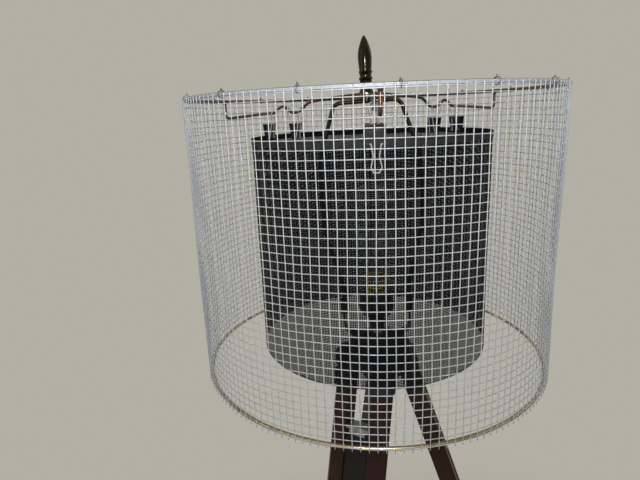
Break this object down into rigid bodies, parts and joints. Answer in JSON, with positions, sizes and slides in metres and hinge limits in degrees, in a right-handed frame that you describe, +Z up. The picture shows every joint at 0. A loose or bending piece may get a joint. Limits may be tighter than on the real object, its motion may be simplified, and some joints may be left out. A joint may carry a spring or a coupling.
{
  "type": "floor lamp",
  "caption": "Tripod floor lamp with a cylindrical wire cage shade over a dark screen drum, a harp with a bullet finial, and folding wooden legs.",
  "frame": {"origin": "centre of the bounding box on the floor", "axes": "+Z up along the pole; -Y is the side seen in the picture, +X to its right"},
  "size_m": [0.5262, 0.5978, 1.3425],
  "materials": {
    "brass_antique": "satin",
    "bronze_wire": "satin",
    "ring_brass": "satin",
    "zinc_wire": "satin",
    "screen_black": "matte",
    "clip_black": "satin",
    "nickel_wire": "gloss",
    "socket_brass": "satin",
    "black_phenolic": "matte",
    "bulb_glass": "gloss",
    "base_metal": "satin",
    "black_iron": "satin",
    "aged_brass": "satin",
    "red_wood": "satin",
    "black_wood": "satin",
    "grey_metal": "satin",
    "rubber": "matte"
  },
  "bodies": {
    "stand": {"tripod_head": "black_iron", "cord_bushing": "black_phenolic", "hinge_bolts": "black_iron", "saddle": "brass_antique", "harp": "brass_antique", "pipe": "aged_brass", "pipe_nut": "aged_brass", "pipe_collar": "black_iron", "socket_cup": "brass_antique", "socket_body": "black_phenolic", "socket_shell": "socket_brass", "bulb_base": "base_metal", "bulb_stem": "bulb_glass", "bulb_glass": "bulb_glass"},
    "shade": {"spider": "bronze_wire", "top_ring": "bronze_wire", "bottom_ring": "ring_brass", "cage_uprights": "zinc_wire", "cage_hoops": "zinc_wire", "tie_wires": "zinc_wire", "screen_drum": "screen_black", "clip_bodies": "clip_black", "clip_handles": "nickel_wire"},
    "finial": {"finial": "brass_antique"},
    "left_sleeve": {"harp_sleeve_left": "brass_antique"},
    "right_sleeve": {"harp_sleeve_right": "brass_antique"},
    "front_leg": {"front_rails": "red_wood", "front_yoke": "black_iron", "front_guide_band": "black_iron", "front_clamp_strap": "black_iron"},
    "front_slide_leg": {"front_slide": "black_wood", "front_slide_cap": "grey_metal", "front_shoe": "black_iron", "front_tip": "rubber"},
    "front_screw": {"front_wing_screw": "aged_brass"},
    "right_leg": {"right_rails": "red_wood", "right_yoke": "black_iron", "right_guide_band": "black_iron", "right_clamp_strap": "black_iron"},
    "right_slide_leg": {"right_slide": "black_wood", "right_slide_cap": "grey_metal", "right_shoe": "black_iron", "right_tip": "rubber"},
    "right_screw": {"right_wing_screw": "aged_brass"},
    "rear_leg": {"rear_rails": "red_wood", "rear_yoke": "black_iron", "rear_guide_band": "black_iron", "rear_clamp_strap": "black_iron"},
    "rear_slide_leg": {"rear_slide": "black_wood", "rear_slide_cap": "grey_metal", "rear_shoe": "black_iron", "rear_tip": "rubber"},
    "rear_screw": {"rear_wing_screw": "aged_brass"}
  },
  "joints": [
    {"name": "shade_turn", "type": "hinge", "parent": "stand", "child": "shade", "pos_m": [-0.07531, 0.00413, 1.292], "axis": [0, 0, 1], "continuous": true},
    {"name": "finial_turn", "type": "hinge", "parent": "stand", "child": "finial", "pos_m": [-0.07531, 0.00413, 1.312], "axis": [0, 0, 1], "continuous": true},
    {"name": "left_sleeve_lift", "type": "slide", "parent": "stand", "child": "left_sleeve", "axis": [0, 0, 1], "range_m": [0, 0.012]},
    {"name": "right_sleeve_lift", "type": "slide", "parent": "stand", "child": "right_sleeve", "axis": [0, 0, 1], "range_m": [0, 0.012]},
    {"name": "front_leg_fold", "type": "hinge", "parent": "stand", "child": "front_leg", "pos_m": [-0.08772, -0.01872, 1.029], "axis": [0.8788, -0.4772, 0], "range_deg": [0, 12]},
    {"name": "front_leg_extend", "type": "slide", "parent": "front_leg", "child": "front_slide_leg", "axis": [-0.1347, -0.2481, -0.9593], "range_m": [0, 0.1]},
    {"name": "front_screw_turn", "type": "hinge", "parent": "front_leg", "child": "front_screw", "pos_m": [-0.1113, -0.06214, 0.86112], "axis": [0.4577, 0.8431, -0.2823], "continuous": true},
    {"name": "right_leg_fold", "type": "hinge", "parent": "stand", "child": "right_leg", "pos_m": [-0.04932, 0.00481, 1.029], "axis": [-0.0262, 0.9997, 0], "range_deg": [0, 12]},
    {"name": "right_leg_extend", "type": "slide", "parent": "right_leg", "child": "right_slide_leg", "axis": [0.2822, 0.0074, -0.9593], "range_m": [0, 0.1]},
    {"name": "right_screw_turn", "type": "hinge", "parent": "right_leg", "child": "right_screw", "pos_m": [0.00007, 0.00611, 0.86112], "axis": [-0.959, -0.0251, -0.2823], "continuous": true},
    {"name": "rear_leg_fold", "type": "hinge", "parent": "stand", "child": "rear_leg", "pos_m": [-0.0889, 0.0263, 1.029], "axis": [-0.8526, -0.5225, 0], "range_deg": [0, 12]},
    {"name": "rear_leg_extend", "type": "slide", "parent": "rear_leg", "child": "rear_slide_leg", "axis": [-0.1475, 0.2407, -0.9593], "range_m": [-0.075, 0.025]},
    {"name": "rear_screw_turn", "type": "hinge", "parent": "rear_leg", "child": "rear_screw", "pos_m": [-0.11471, 0.06843, 0.86112], "axis": [0.5012, -0.8179, -0.2823], "continuous": true}
  ]
}
